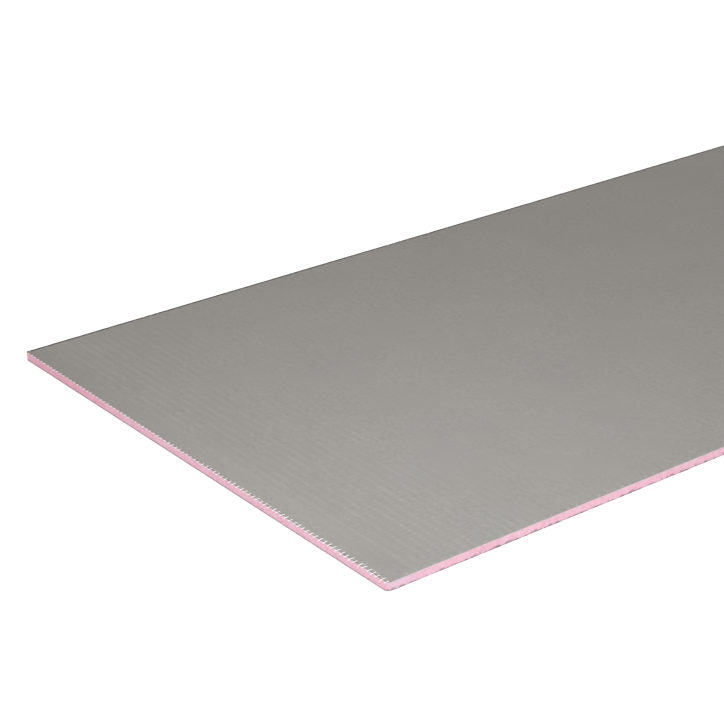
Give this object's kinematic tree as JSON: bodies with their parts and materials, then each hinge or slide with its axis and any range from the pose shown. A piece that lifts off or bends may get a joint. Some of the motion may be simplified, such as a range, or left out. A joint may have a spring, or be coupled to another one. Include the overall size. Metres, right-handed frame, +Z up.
{
  "type": "tile backer board",
  "caption": "Flat rectangular foam-cored board faced on both sides with mesh-reinforced mortar, used under wall and floor tiles.",
  "frame": {"origin": "centre of the underside, on the surface the board lies on", "axes": "+X along the long side, +Y along the short side, +Z up out of the tile face"},
  "size_m": [1.2, 0.6, 0.01],
  "materials": {
    "pink_foam": "cut extruded polystyrene foam, matt, fine closed cells",
    "grey_mortar": "smooth trowelled polymer-cement mortar, matt, the mesh telegraphing through",
    "glass_fibre_mesh": "white alkali-resistant glass-fibre threads"
  },
  "bodies": {
    "root": {"foam_core": "pink_foam", "face_mortar": "grey_mortar", "back_mortar": "grey_mortar", "face_mesh": "glass_fibre_mesh", "back_mesh": "glass_fibre_mesh"}
  },
  "joints": []
}
